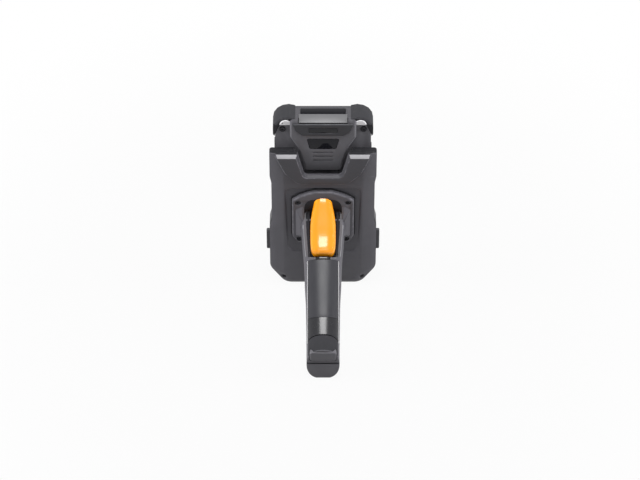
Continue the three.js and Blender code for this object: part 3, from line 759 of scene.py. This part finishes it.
def triggerRing(half, rear, front, height):
    # Flat behind, full and round in front
    points = [Vector((half, rear, height))]
    for i in range(trigger["steps"] + 1):
        angle = math.pi * i / trigger["steps"]
        across = math.copysign(abs(math.cos(angle)) ** 0.8, math.cos(angle))
        points.append(Vector((
            half * across, front - trigger["crown"] * (1 - math.sin(angle) ** trigger["fullness"]), height)))
    points.append(Vector((-half, rear, height)))
    return [point * mm for point in points]


def triggerPiece():
    body = loft("triggerBody", [triggerRing(w, r, f, h) for h, w, r, f in trigger["stations"]])
    carve(body, slab("top", -80, 4.4))
    hole = drum("hole", 1.8 * mm, -20 * mm, 20 * mm)
    move(hole, Matrix.Translation((0, pinForward * mm, pinDown * mm)) @ Matrix.Rotation(math.pi / 2, 4, "Y"))
    carve(body, hole)
    soften(body, 0.9 * mm, 4, 48)
    move(body, gripPlace)
    finishPiece(body, "trigger", orange, ["trigger"], 60)


def wellShadeLining():
    # Black walls beside the trigger in its well: painted shade for the well's sides
    piece = gripLoft("triggerWellShadeLining", 1.6, -8, 72)
    carve(piece, wellCut(0.3), how="INTERSECT")
    room = block("room", (-12.9 * mm, 0, -0.05), (12.9 * mm, 0.05, 0.05))
    carve(piece, room, slab("neckCut", -80, 3.8))
    soften(piece, 0.3 * mm, 2, 40)
    move(piece, gripPlace)
    finishPiece(piece, "sled", rubber, smooth=40)


wellShadeLining()
gripShells()
gripInlays()
triggerPiece()
print("grip shells, sheet, band and trigger made")


# ---------- pieces that keep their packed outline, with finer edges ----------

finerPieces = [
    # node, piece, body, edge radius mm, material, slot
    ("rim_band", "rimBandRubber", "sled", 0.5, rubber, "black_rubber"),
    ("sled_tray", "sledTrayFrame", "sled", 0.6, nearBlack, "dark_plastic"),
    ("dock_connector", "dockConnectorBlock", "sled", 0.25, blackGloss, "black_gloss"),
    ("trigger_lip", "triggerLipCap", "sled", 0.4, blackGloss, "black_gloss"),
    ("latch_button", "latchButtonCap", "latch", 0.6, capPlastic, "dark_plastic"),
    ("side_button_left", "sideButtonLeftCap", "side_button_left", 0.7, nearBlack, "dark_plastic"),
    ("side_button_right", "sideButtonRightCap", "side_button_right", 0.7, nearBlack, "dark_plastic"),
    ("display_glass", "displayGlassSheet", "handheld", 0.3, screenGlass, "dark_glass"),
    ("scan_window", "scanWindowPane", "handheld", 0.25, slotGlass, "dark_glass"),
    ("light_bar", "lightBarGuide", "handheld", 0.35, lightGuide, "light_bar_plastic"),
    ("camera_window", "cameraWindowPane", "handheld", 0.25, darkGlass, "dark_glass"),
    ("top_cap", "topCapPlate", "handheld", 0.3, sheetPlastic, "dark_plastic"),
    ("nameplate", "blankNameplate", "handheld", 0.12, blackGloss, "black_gloss"),
    ("scan_key_left", "scanKeyLeftCap", "scan_key_left", 0.3, nearBlack, "dark_plastic"),
    ("volume_key", "volumeKeyCap", "volume_key", 0.3, nearBlack, "dark_plastic"),
    ("scan_key_right", "scanKeyRightCap", "scan_key_right", 0.3, nearBlack, "dark_plastic"),
    ("power_key", "powerKeyCap", "power_key", 0.3, nearBlack, "dark_plastic"),
    ("battery_pack", "batteryPackSleeve", "battery", 0.5, sleeveBlue, "cell_wrap"),
]


def finerPiece(node, name, body, radius, material, slot):
    piece = fromNode(node, name)
    soften(piece, radius * mm, 3, 32)
    finishPiece(piece, body, material, [node], 32)


for row in finerPieces:
    finerPiece(*row)
print("covers, windows and keys made")


# ---------- flange and its wings ----------

flange = {
    "outline": bothSides([
        (23.5, 57, 5), (29.5, 66, 5), (29.5, 110.4, 2.5), (23, 115.2, 12), (15, 118.9, 14),
        (7.4, 121.3, 14)]),
    "middle": 90,                      # up the head
    "low": -1.2,
    "high": 3.5,
    "screws": [(23.8, 108), (22.4, 62.5)],
    "shadeRingGrow": 1.1,
}


def flangePiece():
    piece = plate("gripFlangePlate", flange["outline"], flange["low"], flange["high"])
    edit(piece)
    pick(piece, "EDGE", lambda e: min(v.co.z for v in e.verts) > (flange["high"] - 0.01) * mm)
    bpy.ops.mesh.bevel(offset=1.5 * mm, segments=4, affect="EDGES")
    closeShape()
    root = gripLoft("root", -0.3)
    move(root, headPlace.inverted() @ gripPlace)
    carve(piece, root)
    for x, y in flange["screws"]:
        for side in (-1, 1):
            carve(piece, drum("seat", 2.9 * mm, 1.2 * mm, 9 * mm, side * x * mm, y * mm, 40))
            carve(piece, drum("bore", 1.4 * mm, -9 * mm, 9 * mm, side * x * mm, y * mm, 24))
    soften(piece, 0.25 * mm, 2, 40)
    move(piece, headPlace)
    finishPiece(piece, "sled", charcoal, ["grip_flange"], 35)


# A black ring round the flange's foot: painted shade for the gap between flange and shell
def flangeGapShadeRing():
    grow, centre = flange["shadeRingGrow"], flange["middle"]
    wide = [
        (x + math.copysign(grow, x), y + math.copysign(grow, y - centre), r + grow)
        for x, y, r in flange["outline"]]
    piece = plate("flangeGapShadeRing", wide, -1.45, -0.5)
    narrow = [(x * 0.93, centre + (y - centre) * 0.93, r) for x, y, r in flange["outline"]]
    carve(piece, plate("middle", narrow, -3, 3))
    soften(piece, 0.2 * mm, 2, 40)
    move(piece, headPlace)
    finishPiece(piece, "sled", rubber)


headShadeSheet = {
    "outline": bothSides([(17.6, 92, 1), (17.6, 112, 9)]),
    "low": 3.45,
    "high": 3.85,
}


def triggerHeadShade():
    # A thin black sheet on the plate round the head of the trigger: painted shade where the trigger enters
    # the grip
    piece = plate("triggerHeadShade", headShadeSheet["outline"], headShadeSheet["low"], headShadeSheet["high"])
    root = gripLoft("root", -0.2)
    move(root, headPlace.inverted() @ gripPlace)
    carve(piece, root)
    soften(piece, 0.12 * mm, 2, 40)
    move(piece, headPlace)
    finishPiece(piece, "sled", rubber)


wing = {
    # x, y and corner radius at the plate and at the crest, mm
    "foot": [
        (-26.2, 67, 1.2), (-26.4, 100, 1.6), (-21, 103.5, 1),
        (-18, 103.5, 0.5), (-18, 66, 0.5), (-22, 64, 1)],
    "crest": [
        (-20.4, 72, 1), (-20.2, 89, 1.2), (-19, 91, 0.5),
        (-18, 91, 0.3), (-18, 71, 0.3), (-19, 71, 0.5)],
    "low": 3.2,
    "high": 9.4,
}


def rootWings():
    piece = loft("rootWingLeft", [outline(wing["foot"], wing["low"]), outline(wing["crest"], wing["high"])])
    root = gripLoft("root", -0.2)
    move(root, headPlace.inverted() @ gripPlace)
    carve(piece, root)
    soften(piece, 0.8 * mm, 3, 30)
    other = copyOf(piece, "rootWingRight")
    edit(other)
    bpy.ops.mesh.select_all(action="SELECT")
    bpy.ops.transform.mirror(constraint_axis=(True, False, False), center_override=(0, 0, 0))
    bpy.ops.mesh.flip_normals()
    closeShape()
    for part in (piece, other):
        move(part, headPlace)
        finishPiece(part, "sled", charcoal, smooth=35)


housing = {
    "screwSeat": (38, 184.8, 3.3),     # x, y and radius, mm
    "seatFloor": -14.9,
    "darkFrom": 190,                   # where the scanner's dark end starts
}


def housingPiece():
    piece = fromNode("handheld_housing", "handheldRearHousing")
    move(piece, headPlace.inverted())
    # Seats for the two corner screws
    x, y, radius = housing["screwSeat"]
    for side in (-1, 1):
        carve(piece, drum(
            "seat", radius * mm, housing["seatFloor"] * mm, -10 * mm, side * x * mm, y * mm, 40))
    move(piece, headPlace)
    soften(piece, 0.45 * mm, 3, 32)
    finishPiece(piece, "handheld", capPlastic, ["handheld_housing"], 32)
    # The end that carries the scanner is darker
    piece.data.materials.append(hoodPlastic)
    for face in piece.data.polygons:
        if face.center.z > housing["darkFrom"] * mm and face.normal.z > 0.3:
            face.material_index = 1


frontCamera = {
    "x": 17,
    "y": 191.4,
    "radius": 2.6,
    "front": -30.9,
}


def bezelPiece():
    piece = fromNode("handheld_bezel", "handheldFrontBezel")
    move(piece, headPlace.inverted())
    x, y = frontCamera["x"] * mm, frontCamera["y"] * mm
    carve(piece, drum("seat", (frontCamera["radius"] + 0.1) * mm, -0.04, -30.3 * mm, x, y, 40))
    move(piece, headPlace)
    soften(piece, 0.4 * mm, 3, 32)
    finishPiece(piece, "handheld", nearBlack, ["handheld_bezel"], 32)
    lens = drum(
        "frontCameraLens", frontCamera["radius"] * mm, frontCamera["front"] * mm, -30.35 * mm, x, y, 40)
    edit(lens)
    pick(lens, "FACE", lambda f: f.normal.z < -0.9)
    bpy.ops.mesh.inset(thickness=0.7 * mm)
    bpy.ops.transform.translate(value=(0, 0, 0.2 * mm))
    bpy.ops.mesh.inset(thickness=0.7 * mm)
    bpy.ops.transform.translate(value=(0, 0, -0.15 * mm))
    closeShape()
    soften(lens, 0.08 * mm, 2, 30)
    move(lens, headPlace)
    finishPiece(lens, "handheld", darkGlass)


housingPiece()
bezelPiece()
flangePiece()
flangeGapShadeRing()
triggerHeadShade()
rootWings()
print("flange made")


# ---------- hood ----------

hood = {
    "foot": 1.5,                       # how far its foot reaches into the shell, mm
    "chamferFrom": 162,                # the faces above this, up the head, are its top chamfers, which take the painted highlight
}
tailSeat = (38.2, 9, 2.7)              # x, y and radius, mm
slope = {
    "start": 37.5,                     # from the middle, mm
    "angle": 10.0,
}


def sideSlope(side):
    # Leans the shell's face away toward one side
    wide = 0.04 * side
    piece = block("slope", (min(0, wide), -0.01, 0), (max(0, wide), 0.2, 0.02))
    move(piece, Matrix.Rotation(side * math.radians(slope["angle"]), 4, "Y"))
    return move(piece, Matrix.Translation((side * slope["start"] * mm, 0, 0)))


def hoodPiece():
    piece = fromNode("hood_collar", "hoodCollarPlate")
    # Its foot reaches down to the sloping sides
    edit(piece)
    pick(piece, "VERT", lambda v: v.co.y > panelY - 0.05 * mm)
    bpy.ops.transform.translate(value=(0, hood["foot"] * mm, 0))
    closeShape()
    soften(piece, 0.45 * mm, 3, 32)
    finishPiece(piece, "sled", hoodPlastic, ["hood_collar"], 32)
    # The chamfers that look up get a pale plastic: a painted highlight
    piece.data.materials.append(chamferHighlightPlastic)
    piece.data.materials.append(rubber)
    for face in piece.data.polygons:
        if face.center.z < hood["chamferFrom"] * mm:
            continue
        if face.normal.z > 0.92:
            face.material_index = 2
        elif face.normal.z > 0.35 and face.area > 3e-6:
            face.material_index = 1


def sledShell():
    piece = fromNode("sled_shell", "sledShellCover")
    move(piece, headPlace.inverted())
    x, y, radius = tailSeat
    for side in (-1, 1):
        carve(piece, sideSlope(side))
        carve(piece, drum("seat", radius * mm, -2.5 * mm, 2 * mm, side * x * mm, y * mm, 40))
    move(piece, headPlace)
    soften(piece, 0.45 * mm, 3, 32)
    finishPiece(piece, "sled", charcoal, ["sled_shell"], 32)
    # The top edge carries on the black band round the rim
    piece.data.materials.append(rubber)
    for face in piece.data.polygons:
        if face.center.z > 0.1635 and face.normal.z > 0.3:
            face.material_index = 1


sledShell()
hoodPiece()


# ---------- base cap ----------

cap = {
    "top": grip["end"] + 0.6,
    "face": 130,
    "rim": 2.6,
    "groove": (18.2, 20.4, 1.3),
    "latch": (-12.9, 22.1, 12.9, 34.1),
}


def baseCap():
    piece = gripLoft("baseCapShell", 0, 60)
    carve(piece, slab("above", -90, cap["top"]), slab("below", cap["face"], 400))
    move(piece, headPlace.inverted() @ gripPlace)
    carve(piece, block("under", (-0.1, -0.1, 0.05), (0.1, 0.02 * mm, 0.2)))
    edit(piece)
    bpy.ops.mesh.select_all(action="SELECT")
    bpy.ops.mesh.dissolve_limited(angle_limit=math.radians(1))
    pick(piece, "EDGE", lambda e: (
        min(v.co.z for v in e.verts) > (cap["face"] - 0.02) * mm and e.calc_face_angle(0) > 0.6))
    bpy.ops.mesh.bevel(offset=cap["rim"] * mm, segments=6, affect="EDGES", clamp_overlap=True)
    closeShape()
    low, high, deep = cap["groove"]
    left, bottom, right, top = cap["latch"]
    carve(
        piece,
        block("groove", (-0.1, low * mm, (cap["face"] - deep) * mm), (0.1, high * mm, 0.2)),
        block("room", (left * mm, bottom * mm, 0.123), (right * mm, top * mm, 0.2), 3 * mm, 5))
    soften(piece, 0.3 * mm, 2, 34)
    move(piece, headPlace)
    finishPiece(piece, "battery", capPlastic, ["base_cap"], 34)
    # The front of the neck has a rubber skin
    piece.data.materials.append(bumperRubber)
    for face in piece.data.polygons:
        if face.normal.dot(gripFront) > 0.42 and face.normal.y > -0.62:
            face.material_index = 1


baseCap()
print("hood and base cap made")


# ---------- bumpers, corner posts and screws ----------

post = {
    "x": -34.9,
    "y": 192.6,
    "radius": 5.7,
    "low": -14.0,
    "high": -9.8,
}


def halfDome(name, grow=0.0):
    # A domed half disc, flat side toward the tail, in the head frame
    radius = (post["radius"] + grow) * mm
    low = (post["low"] - grow) * mm
    piece = drum(name, radius, low, (post["high"] + grow * 4) * mm, post["x"] * mm, post["y"] * mm, 48)
    edit(piece)
    bpy.ops.mesh.select_all(action="SELECT")
    bpy.ops.mesh.bisect(
        plane_co=(0, (post["y"] - grow) * mm, 0), plane_no=(0, -1, 0), use_fill=True, clear_outer=True)
    closeShape()
    return piece


def cornerPosts():
    piece = halfDome("cornerPostLeftCap")
    soften(piece, 1.5 * mm, 5, 40)
    right = copyOf(piece, "cornerPostRightCap")
    carve(piece, drum("eye", 0.8 * mm, -12 * mm, -5 * mm, -38 * mm, 195 * mm, 24))
    move(right, Matrix.Scale(-1, 4, (1, 0, 0)))
    right.data.flip_normals()
    for part, node in ((piece, "corner_post_left"), (right, "corner_post_right")):
        move(part, headPlace)
        finishPiece(part, "handheld", postPlastic, [node], 40)


bumper = {
    "taper": math.radians(13),
    "taperAt": (26, 199.8),            # x and y, mm
    "lip": 2.0,
    "lipEnd": 33,
    "edge": 1.2,
}


def bumpers():
    for side, name in ((-1, "bumper_left"), (1, "bumper_right")):
        piece = fromNode(name, "bumperRubberLeft" if side < 0 else "bumperRubberRight")
        move(piece, headPlace.inverted())
        room = halfDome("postRoom", 0.25)
        if side > 0:
            move(room, Matrix.Scale(-1, 4, (1, 0, 0)))
            room.data.flip_normals()
        carve(piece, room)
        taper = block("taper", (-0.02, 0, -0.05), (0.02, 0.01, 0.05))
        move(taper, Matrix.Rotation(side * bumper["taper"], 4, "Z"))
        x, y = bumper["taperAt"]
        move(taper, Matrix.Translation((side * x * mm, y * mm, 0)))
        carve(piece, taper)
        edit(piece)
        pick(piece, "EDGE", lambda e: min(v.co.z for v in e.verts) > -11 * mm and any(
            f.normal.x * side < -0.6 and abs(f.normal.z) < 0.1 for f in e.link_faces))
        bpy.ops.mesh.bevel(offset=bumper["lip"] * mm, segments=1, affect="EDGES", clamp_overlap=True)
        closeShape()
        move(piece, headPlace)
        soften(piece, bumper["edge"] * mm, 4, 30)
        finishPiece(piece, "handheld", bumperRubber, [name], 34)
        # The slanted inner lip gets a paler rubber: a painted highlight
        piece.data.materials.append(bumperLipHighlightRubber)
        for face in piece.data.polygons:
            inner = abs(face.center.x) < bumper["lipEnd"] * mm
            if inner and face.normal.x * side < -0.5 and face.normal.y < -0.5:
                face.material_index = 1


screws = {
    # node, body, head radius, height of the head's face above the panel, mm
    "flange_screw_1": ("sled", 2.2, 2.5), "flange_screw_2": ("sled", 2.2, 2.5),
    "flange_screw_3": ("sled", 2.2, 2.5), "flange_screw_4": ("sled", 2.2, 2.5),
    "tail_screw_1": ("sled", 2.2, -2.1), "tail_screw_2": ("sled", 2.2, -2.1),
    "body_screw_1": ("handheld", 2.8, -13.2), "body_screw_2": ("handheld", 2.8, -13.2),
}


def screwHead(radius):
    # A domed head with a six-sided socket
    piece = drum("screwHead", radius * mm, -1.4 * mm, 0, sides=40)
    edit(piece)
    pick(piece, "FACE", lambda f: f.normal.z > 0.9)
    bpy.ops.mesh.inset(thickness=radius * 0.28 * mm)
    bpy.ops.transform.translate(value=(0, 0, 0.12 * mm))
    closeShape()
    socket = drum("socket", radius * 0.5 * mm, -0.9 * mm, 3 * mm, sides=6)
    carve(piece, socket)
    return soften(piece, 0.12 * mm, 2, 40)


def screwPieces():
    heads = {radius: screwHead(radius) for radius in {row[1] for row in screws.values()}}
    for node, (body, radius, top) in screws.items():
        low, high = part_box(node)
        place = headPlace.inverted() @ ((low + high) / 2)
        piece = copyOf(heads[radius], node.replace("_screw_", "Screw") + "Head")
        move(piece, headPlace @ Matrix.Translation((place.x, place.y, top * mm)))
        shank = drum("shank", radius * 0.5 * mm, -0.003, 0, sides=20)
        move(shank, headPlace @ Matrix.Translation((place.x, place.y, (top - 1) * mm)))
        carve(piece, shank, how="UNION")
        finishPiece(piece, body, oxideSteel, [node], 34)
    for head in heads.values():
        bpy.data.objects.remove(head)


cornerPosts()
bumpers()
screwPieces()
print("bumpers, posts and screws made")


# ---------- inner pieces, shown as packed ----------

innerFinishes = {
    "reader_board": boardGreen, "main_board": boardGreen, "reader_module": shieldTin,
    "antenna_plate": shieldTin, "antenna_patch": antennaCeramic, "trigger_pin": blackSteel,
    "trigger_spring": brightSteel, "switch_block": nearBlack, "trigger_switch": blackGloss,
    "contact_block": nearBlack, "display_module": blackGloss, "handheld_battery": sleeveBlue,
    "scan_engine": blackGloss, "camera_module": blackGloss, "speaker": shieldTin,
}
for node, material in innerFinishes.items():
    frame["nodes"][node].data.materials.clear()
    frame["nodes"][node].data.materials.append(material)
print("inner pieces finished")


# ---------- floor, light and camera ----------

studio = {
    "floorAlbedo": 0.32,
    "nearGlow": 0.93,                  # how far the white behind shows through the floor
    "nearRadius": 0.2,
    "farRadius": 0.55,
    "dome": 0.3,
    # name, place, aim, size, watts, seen in reflections
    "lamps": [
        ("topStrip", (0, -0.07, 1.05), (0, -0.07, 0.1), (0.40, 0.36), 7.0, True),
        ("frontSoftbox", (0, -0.62, 0.94), (0, 0, 0.1), (0.74, 0.3), 2.5, True),
        ("leftStrip", (-1.0, -0.02, 0.42), (0, 0, 0.1), (0.35, 0.9), 15, False),
        ("rightStrip", (1.0, -0.02, 0.42), (0, 0, 0.1), (0.35, 0.9), 15, False),
        ("backSoftbox", (0, 1.2, 0.9), (0, 0, 0.1), (1.0, 0.7), 3.5, True)],
}


def floorFinish():
    finish = Finish("paleFloor", Roughness=0.9)
    level = studio["floorAlbedo"]
    cloud = finish.noise(0.4, 2)
    finish.paint(Base_Color=finish.mix(cloud, shade((level,) * 3, 0.99), shade((level,) * 3, 1.01)))
    clear = finish.node("BsdfTransparent", {}, {})
    path = finish.node("LightPath", {}, {})
    seen, mirrored, passed = [
        Value(finish, path.outputs[ray])
        for ray in ("Is Camera Ray", "Is Glossy Ray", "Is Transmission Ray")]
    coords = finish.node("TexCoord", {}, {})
    length = finish.node("VectorMath", {"operation": "LENGTH"}, {0: coords.outputs["Object"]})
    far = Value(finish, length.outputs["Value"]).ramp(studio["nearRadius"], studio["farRadius"])
    share = studio["nearGlow"]
    mixed = finish.node("MixShader", {}, {
        0: (seen + (mirrored + passed)) * (share + (1 - share) * far),
        1: finish.shader.outputs[0], 2: clear.outputs[0]})
    output = finish.tree.nodes["Material Output"]
    finish.tree.links.new(mixed.outputs[0], output.inputs["Surface"])
    return finish.material


def addFloor():
    deselect()
    bpy.ops.mesh.primitive_plane_add(size=60, location=(0, 0, -0.05 * mm))
    floor = bpy.context.object
    floor.name = "floorSheet"
    floor.data.materials.append(floorFinish())


def addWorld():
    world = bpy.data.worlds.new("studio")
    bpy.context.scene.world = world
    world.use_nodes = True
    tree = world.node_tree
    back = tree.nodes["Background"]
    path = tree.nodes.new("ShaderNodeLightPath")
    seen = path.outputs["Is Camera Ray"]
    for ray in ("Is Glossy Ray", "Is Transmission Ray"):
        either = tree.nodes.new("ShaderNodeMath")
        either.operation = "MAXIMUM"
        tree.links.new(seen, either.inputs[0])
        tree.links.new(path.outputs[ray], either.inputs[1])
        seen = either.outputs[0]
    level = tree.nodes.new("ShaderNodeMapRange")
    level.inputs["To Min"].default_value = studio["dome"]
    level.inputs["To Max"].default_value = 1.0
    tree.links.new(seen, level.inputs["Value"])
    tree.links.new(level.outputs[0], back.inputs["Strength"])
    back.inputs["Color"].default_value = (1, 1, 1, 1)


def addLamp(name, place, target, size, power, mirrored):
    data = bpy.data.lights.new(name, "AREA")
    data.shape = "RECTANGLE"
    data.size, data.size_y = size
    data.energy = power
    lamp = bpy.data.objects.new(name, data)
    lamp.visible_glossy = mirrored
    bpy.context.scene.collection.objects.link(lamp)
    lamp.location = place
    lamp.rotation_euler = (Vector(target) - Vector(place)).to_track_quat("-Z", "Y").to_euler()


camera = {
    "elevation": 42.0,
    "distance": 2.5,
    "lens": 147.66,
    "aim": (-2.86 * mm, 0, 0),
    "target": (0, -20, 80),            # ahead of the panel and up the head, mm
    "lower": 3.24 * mm,
}


def addCamera():
    tilt = math.radians(camera["elevation"])
    back = Vector((0, -math.cos(tilt), math.sin(tilt)))
    up = Vector((0, math.sin(tilt), math.cos(tilt)))
    target = Vector((0, panelY, 0)) + Vector(camera["target"]) * mm
    target += Vector(camera["aim"]) - up * camera["lower"]
    data = bpy.data.cameras.new("viewCamera")
    data.lens = camera["lens"]
    view = bpy.data.objects.new("viewCamera", data)
    bpy.context.scene.collection.objects.link(view)
    view.location = target + back * camera["distance"]
    view.rotation_euler = (-back).to_track_quat("-Z", "Y").to_euler()
    bpy.context.scene.camera = view


addFloor()
addWorld()
for row in studio["lamps"]:
    addLamp(*row)
addCamera()
bpy.context.scene.view_settings.view_transform = "Standard"
print("floor, light and camera placed")
